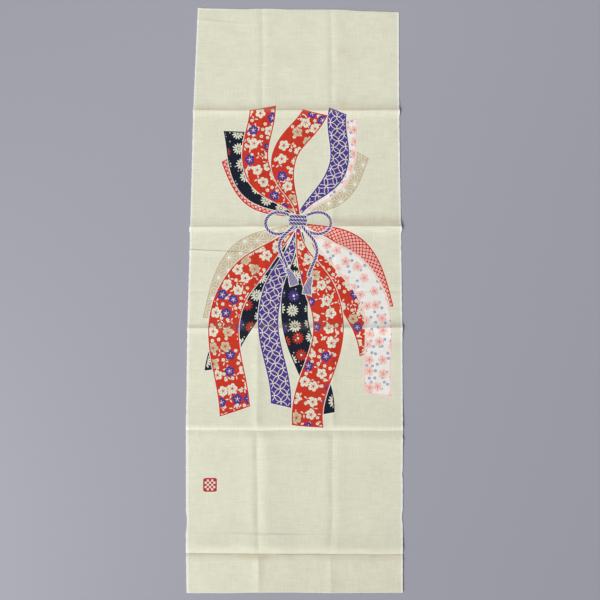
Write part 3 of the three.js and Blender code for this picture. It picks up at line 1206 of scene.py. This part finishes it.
def cotton_material(colours):
    """Plain-weave cotton, undyed and dyed: matt, with its yarns, selvedge, stains, painted shade and
    highlight.
    """
    finish = {"Specular IOR Level": 0.12, "Sheen Weight": 0.06, "Sheen Roughness": 0.5}
    material, tree, shader = new_material("dyed_cotton", finish)
    across, along, inset = attribute(tree, "cloth_place")
    side, stain_and_shade_mask, _ = attribute(tree, "cloth_state")

    def patches(fine, layer, detail=2.0):
        return cloth_noise(tree, across, along, fine, layer, detail)

    bleed = (patches((1.6, 1.6), 0.0) - 0.5) * BLEED
    dye, dyed, resist = design(tree, bleed, colours)
    dyed = dyed * side.spread(UNDERSIDE_DYE, 1)
    dyed = dyed * patches((0.5, 0.5), 2.0).spread(*DYE_DEPTH).least(1.0)
    # Partly painted highlight: a white band along the edges and cuts, over the selvedge's own whiteness.
    white = (inset + bleed * EDGE_BLEED).between(*SELVEDGE_AND_HIGHLIGHT_FADES)
    colour = paint(tree, white, colours.cotton, colours.selvedge)
    colour = paint(tree, resist * side * WHITE_LINE, colour, colours.pale)
    colour = paint(tree, dyed, colour, dye)
    # Age stains and painted shade in the creases and on the swells, deeper in patches.
    blotch = patches((0.09, 0.16), 4.0, detail=3.0).between(*STAIN_AND_SHADE_PATCHES).spread(*STAIN_AND_SHADE_DEPTH)
    colour = paint(tree, stain_and_shade_mask * blotch, colour, colours.stain_and_shade)
    high = weave_height(tree, across, along)
    # Painted shade: the weave's hollows are darker in the colour; the streaks are the yarns' own tone.
    light = high.spread(*WEAVE_LIGHT) * yarn_streaks(tree, across, along)
    slub = patches((1.1, 0.06), 9.0)
    feed(tree, shader["Base Color"], shaded(tree, colour, light))
    feed(tree, shader["Roughness"], patches((0.3, 0.3), 6.0).spread(*COTTON_ROUGHNESS))
    feed(tree, shader["Normal"], relief(tree, high * WEAVE_RELIEF + slub * SLUB_RELIEF, strength=0.7))
    return material


def yarn_material(colours):
    """Undyed cotton yarn, with its twist, painted light and shade along the twist, and its fuzz."""
    finish = {"Specular IOR Level": 0.15, "Sheen Weight": 0.2}
    material, tree, shader = new_material("cotton_yarn", finish)
    along, around, chance = attribute(tree, "yarn_place")
    twist = ((along * TWIST_ALONG + around * TWIST_ROUND) * math.pi).math("SINE")
    # Painted light and shade along the twist, on each yarn's own random tone.
    light = twist * TWIST_LIGHT + chance.spread(*YARN_LIGHT)
    feed(tree, shader["Base Color"], shaded(tree, colours.selvedge, light))
    feed(tree, shader["Roughness"], chance.spread(*YARN_ROUGHNESS))
    feed(tree, shader["Normal"], relief(tree, twist * TWIST_RELIEF, strength=0.6))
    return material


def floor_material(colour):
    """A plain matt board with a trace of unevenness."""
    finish = {"Specular IOR Level": 0.04, "Roughness": 1.0}
    material, tree, shader = new_material("plain_floor", finish)
    place = tree.nodes.new("ShaderNodeTexCoord").outputs["Object"]
    grain = noise(tree, place, detail=3.0).spread(*FLOOR_LIGHT)
    feed(tree, shader["Base Color"], shaded(tree, colour, grain))
    return material


# ---------------------------------------------------------------------------------------------------
# Meshes
# ---------------------------------------------------------------------------------------------------


def mesh_object(name, points, faces, material):
    """A smooth-shaded mesh object at the origin, from an array of points and one of faces."""
    mesh = bpy.data.meshes.new(name)
    mesh.from_pydata(points.tolist(), [], faces if isinstance(faces, list) else faces.tolist())
    mesh.polygons.foreach_set("use_smooth", np.ones(len(faces), bool))
    mesh.materials.append(material)
    mesh.update()
    piece = bpy.data.objects.new(name, mesh)
    bpy.context.scene.collection.objects.link(piece)
    return piece


def write_attribute(mesh, name, domain, values):
    """Puts an array of three numbers a row into the mesh as one of its own attributes."""
    made = mesh.attributes.new(name, "FLOAT_VECTOR", domain)
    made.data.foreach_set("vector", np.ascontiguousarray(values, np.float32).ravel())


def sheet_rows(over, under):
    """The rows of a sheet's vertices: all those of the top's grid, then the underside's inner ones."""
    row = over.shape[2:]
    return np.concatenate([over.reshape(-1, *row), under[1:-1, 1:-1].reshape(-1, *row)])


def make_cloth(sizes, colours):
    """The towel: the grid of its top and underside, and the numbers that its material reads."""
    folds = {fold.along: FINE_STEP for fold in (*RIDGES, *VALLEYS, *WRINKLES)}
    along_lines = graded(-HALF_LENGTH, HALF_LENGTH, folds)
    across_lines = graded(0, WIDEST, {share * WIDEST: SOFT_STEP for share in LINE_SHARES}) / WIDEST
    share, along = np.meshgrid(across_lines, along_lines)
    top, low = sheet_faces(*share.shape)
    faces = np.concatenate([top, low])
    points = sheet_rows(*sheet_points(share, along, sizes))
    cloth = mesh_object("towel", points, faces, cotton_material(colours))
    share, along = strayed(share, along, sizes)
    width = outline_at(along, "width")
    across = (share - 0.5) * width
    # How far a place is from the edges and cuts, scaled for the width of the white band, which is partly
    # painted highlight.
    inset = np.minimum(share * table_at(along, LEFT_SHOWS), (1 - share) * RIGHT_SHOWS) * width
    cut_shows = np.where(along > 0, FAR_CUT_SHOWS, NEAR_CUT_SHOWS)
    inset = np.minimum(inset, (HALF_LENGTH - np.abs(along)) * cut_shows)
    place = np.stack([across, along, inset], -1)
    write_attribute(cloth.data, "cloth_place", "POINT", sheet_rows(place, place))
    # Age stains and painted shade, as a share at each corner.
    stain_and_shade_mask = stain_and_shade_field(share, across, along)
    stain_and_shade_mask = sheet_rows(stain_and_shade_mask, stain_and_shade_mask)[faces.ravel()]
    side = np.repeat([1.0, 0.0], 4 * len(top))
    state = np.stack([side, stain_and_shade_mask, 0 * side], -1)
    write_attribute(cloth.data, "cloth_state", "CORNER", state)
    for layer, (first, second) in zip(LAYERS, design_layers(across, along, top)):
        for name, part in ((f"streamer_{layer}", first), (f"streamer_{layer}_cut", second)):
            both = np.concatenate([part, part[:, ::-1]])
            write_attribute(cloth.data, name, "CORNER", both)
    return cloth


def tubes(lines, radii, sides):
    """Closed tapering tubes along many lines at once: (points, faces, how many points a tube has).

    lines is an array (tube, step, 3). Round each step of a line stands a ring, in the plane of the
    vertical and of the level direction across the line, and each end is closed by a point.
    """
    count, steps, _ = lines.shape
    way = np.gradient(lines, axis=1)
    across = np.cross(way, [0.0, 0.0, 1.0])
    across /= np.linalg.norm(across, axis=-1, keepdims=True)
    up = np.cross(across, way)
    up /= np.linalg.norm(up, axis=-1, keepdims=True)
    turn = np.linspace(0, 2 * math.pi, sides, endpoint=False)
    ring = across[:, :, None] * np.cos(turn)[:, None] + up[:, :, None] * np.sin(turn)[:, None]
    points = lines[:, :, None] + ring * radii[:, :, None, None]
    points = points.reshape(count, steps * sides, 3)
    points = np.concatenate([points, lines[:, :1], lines[:, -1:]], 1)
    step, side = np.meshgrid(np.arange(steps - 1), np.arange(sides), indexing="ij")
    a = step * sides + side
    b = step * sides + (side + 1) % sides
    quads = np.stack([a, a + sides, b + sides, b], -1).reshape(-1, 4)
    ends = np.arange(sides)
    first = np.stack([ends, (ends + 1) % sides, np.full(sides, steps * sides)], -1)
    final = (steps - 1) * sides + np.stack([(ends + 1) % sides, ends], -1)
    final = np.concatenate([final, np.full((sides, 1), steps * sides + 1)], -1)
    per_tube = steps * sides + 2
    shift = (np.arange(count) * per_tube)[:, None, None]
    faces = [(quads + shift).reshape(-1, 4), (first + shift).reshape(-1, 3)]
    faces.append((final + shift).reshape(-1, 3))
    return points.reshape(-1, 3), faces, per_tube


def yarn_ends(sizes, rng, cut, radius, count=ENDS_TO_A_CUT):
    """The lines of the short yarn ends that stand out of a cut, as an array (end, step, 3).

    Each starts inside the cloth and runs out past the cut, drifting sideways by the square of its
    way and sinking onto the surface. Most are short, and their lengths fall off as a power.
    """
    share = (np.arange(count) + rng.uniform(*END_PLACE, count)) / count
    share = ENDS_FROM + (ENDS_TO - ENDS_FROM) * share
    done = np.linspace(0, 1, END_STEPS)[None, :]
    long = SHORT_END + MOST_ADD * rng.uniform(0, 1, count) ** MOST_POWER
    long += FEW_ADD * rng.uniform(0, 1, count) ** FEW_POWER
    drift = rng.normal(0, END_DRIFT, count) * long
    along = np.full(count, cut * (HALF_LENGTH - END_ROOT))
    x, y = laid(*strayed(share, along, sizes))
    z = (lift(share, along, sizes) + sizes.thickness / METRE / 2)[:, None]
    out = y[:, None] + cut * (END_ROOT + long[:, None]) * done
    side = x[:, None] + drift[:, None] * done**2
    down = z + (radius - z) * done * END_SINKS + END_TILT * rng.normal(0, 1, (count, 1)) * done
    return np.stack([side, out, np.maximum(down, radius)], -1)


def yarn_runs(sizes, rng):
    """The lines of the outermost yarns, which have come away from the cuts here and there.

    Each follows its cut a little outside it, waving in and out and up and down by a few sines. The
    curl is the sum of short steps along its heading, and rises and falls as a sine squared.
    """
    runs = []
    done = np.linspace(0, 1, RUN_STEPS)
    bow = np.sin(math.pi * done)
    for run in LOOSE_RUNS:
        share = run.start + (run.stop - run.start) * done
        along = np.full_like(share, run.cut * (HALF_LENGTH - RUN_ROOT))
        x, y = laid(*strayed(share, along, sizes))
        away = run.out * bow * (1 + ripple(x, rng, RUN_WAVE))
        z = RUN_HEIGHT + RUN_LIFT * (1 + ripple(x, rng, RUN_LIFT_WAVE)) * bow
        runs.append(np.stack([x, y + run.cut * away, np.maximum(z, RUN_LOWEST)], -1))
    x, y = laid(*strayed(np.array([CURL_SHARE]), np.array([HALF_LENGTH]), sizes))
    heading = np.radians(table_at(done, CURL))
    step = CURL_LENGTH / RUN_STEPS
    curl = np.stack([np.cos(heading).cumsum(), np.sin(heading).cumsum()], -1) * step
    z = CURL_LOW + CURL_LIFT * bow**2
    runs.append(np.concatenate([curl + np.stack([x, y - CURL_ROOT], -1), z[:, None]], -1))
    return np.array(runs)


def make_yarn(sizes, colours):
    """All the loose yarn as one mesh: the ends along both cuts, the loose runs and the curl."""
    rng = np.random.default_rng(sizes.seed + 2)
    radius = sizes.yarn / METRE / 2
    middle_x, middle_y = middle_of_box()
    points, faces, places, before = [], [], [], 0
    ends = np.concatenate([yarn_ends(sizes, rng, cut, radius) for cut in (1, -1)])
    kinds = ((ends, END_SIDES, 1.0), (yarn_runs(sizes, rng), RUN_SIDES, RUN_THICK))
    for lines, sides, thick in kinds:
        uneven = rng.uniform(*YARN_UNEVEN, (len(lines), 1))
        taper = np.linspace(thick, YARN_TIP, lines.shape[1]) * uneven
        tube, parts, per_tube = tubes(lines, radius * taper, sides)
        chance = np.repeat(rng.uniform(0, 1, len(lines)), per_tube)
        gone = np.tile(np.linspace(0, 1, per_tube), len(lines)) * lines.shape[1]
        around = np.tile(np.arange(per_tube) % sides / sides, len(lines))
        points.append((tube - (middle_x, middle_y, 0)) * METRE)
        places.append(np.stack([gone, around, chance], -1))
        faces += [part + before for part in parts]
        before += len(tube)
    flat = [row for part in faces for row in part.tolist()]
    yarn = mesh_object("loose_yarn", np.concatenate(points), flat, yarn_material(colours))
    write_attribute(yarn.data, "yarn_place", "POINT", np.concatenate(places))
    return yarn


# ---------------------------------------------------------------------------------------------------
# Operators
# ---------------------------------------------------------------------------------------------------


class TENUGUI_OT_yarn(Operator):
    """Add the loose yarn along the two cuts"""

    bl_idname = "tenugui.yarn"
    bl_label = "Add the loose yarn"

    def execute(self, context):
        scene = context.scene
        yarn = make_yarn(scene.towel_sizes, scene.towel_colours)
        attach(yarn, "root")
        return {"FINISHED"}


class TENUGUI_OT_cloth(Operator):
    """Lay the towel: a creased sheet of dyed cotton in place of the frame's plain solid"""

    bl_idname = "tenugui.cloth"
    bl_label = "Lay the towel"

    def execute(self, context):
        scene = context.scene
        cloth = make_cloth(scene.towel_sizes, scene.towel_colours)
        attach(cloth, "root")
        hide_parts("cloth")
        return {"FINISHED"}


# Where the lights stand and how wide the weak ones are, in metres.
KEY_LIGHT = (-2.5, -2.5, 2.9)
LEFT_LIGHT = (-0.8, -0.44, 0.55)
FAR_LIGHT = (0.0, 0.7, 0.9)
WEAK_LIGHT_SIZE = 0.7
FLOOR_HALF = 9.0  # half a side of the floor, in metres
FLOOR_DROP = 0.0003  # how far the floor is under the cloth, in metres
LOOK_AT = (7.65, -15.6, 0.5)  # the middle of the view, in millimetres
SENSOR_WIDTH = 36.0  # the lens is given for this


def place_lamp(context, light, place):
    """Puts a light at a place, aimed at the middle of the towel."""
    lamp = bpy.data.objects.new(light.name, light)
    lamp.location = place
    lamp.rotation_euler = (-Vector(place)).to_track_quat("-Z", "Y").to_euler()
    lamp.visible_camera = False
    context.scene.collection.objects.link(lamp)


def set_lights(context, settings):
    """The soft light from the near left, two weak ones, and an even light from all round."""
    key = bpy.data.lights.new("key", "SUN")
    key.energy = settings.key_strength
    key.angle = settings.key_softness
    place_lamp(context, key, KEY_LIGHT)
    weak = (("left", settings.left_power, LEFT_LIGHT), ("far", settings.far_power, FAR_LIGHT))
    for name, power, place in weak:
        light = bpy.data.lights.new(name, "AREA")
        light.size = WEAK_LIGHT_SIZE
        light.energy = power
        place_lamp(context, light, place)
    world = bpy.data.worlds.new("studio")
    world.use_nodes = True
    background = world.node_tree.nodes["Background"]
    background.inputs["Color"].default_value = (1.0, 1.0, 1.0, 1.0)
    background.inputs["Strength"].default_value = settings.fill
    context.scene.world = world
    context.scene.view_settings.view_transform = "Standard"


def set_camera(context, settings):
    """The camera, leaning from straight above towards the near end."""
    camera = bpy.data.cameras.new("camera")
    camera.lens = settings.lens
    camera.sensor_width = SENSOR_WIDTH
    tilt = settings.camera_tilt
    back = Vector((0, -math.sin(tilt), math.cos(tilt))) * settings.camera_distance
    viewer = bpy.data.objects.new("camera", camera)
    viewer.location = Vector(LOOK_AT) * METRE + back
    viewer.rotation_euler = (tilt, 0, 0)
    context.scene.collection.objects.link(viewer)
    context.scene.camera = viewer


class TENUGUI_OT_stage(Operator):
    """Set the plain floor, the soft light and the camera"""

    bl_idname = "tenugui.stage"
    bl_label = "Set the stage"

    def execute(self, context):
        settings = context.scene.stage_settings
        corners = np.array([[-1, -1, 0], [1, -1, 0], [1, 1, 0], [-1, 1, 0]]) * FLOOR_HALF
        corners[:, 2] = -FLOOR_DROP
        floor = mesh_object("floor", corners, np.array([[0, 1, 2, 3]]), floor_material(settings.floor))
        set_lights(context, settings)
        set_camera(context, settings)
        return {"FINISHED"}


class TENUGUI_PT_panel(Panel):
    """Lists the towel's pieces and what can be changed about them"""

    bl_idname = "TENUGUI_PT_panel"
    bl_label = "Tenugui towel"
    bl_space_type = "VIEW_3D"
    bl_region_type = "UI"
    bl_category = "Tenugui"

    def draw(self, context):
        scene = context.scene
        for place, group in GROUPS.items():
            box = self.layout.box()
            for name in group.__annotations__:
                box.prop(getattr(scene, place), name)
        for operator in OPERATORS:
            self.layout.operator(operator.bl_idname)


OPERATORS = (TENUGUI_OT_yarn, TENUGUI_OT_cloth, TENUGUI_OT_stage)
CLASSES = (TowelSizes, TowelColours, StageSettings, *OPERATORS, TENUGUI_PT_panel)
GROUPS = {"towel_sizes": TowelSizes, "towel_colours": TowelColours, "stage_settings": StageSettings}


def register():
    """Adds the operators and the panel, and gives each scene its settings."""
    for made in CLASSES:
        bpy.utils.register_class(made)
    for name, group in GROUPS.items():
        setattr(bpy.types.Scene, name, PointerProperty(type=group))


def unregister():
    """Takes away what register adds."""
    for name in GROUPS:
        delattr(bpy.types.Scene, name)
    for made in reversed(CLASSES):
        bpy.utils.unregister_class(made)


def main():
    """Makes the pieces and the stage in order."""
    register()
    bpy.ops.tenugui.yarn()
    bpy.ops.tenugui.cloth()
    bpy.ops.tenugui.stage()


if __name__ == "__main__":
    main()
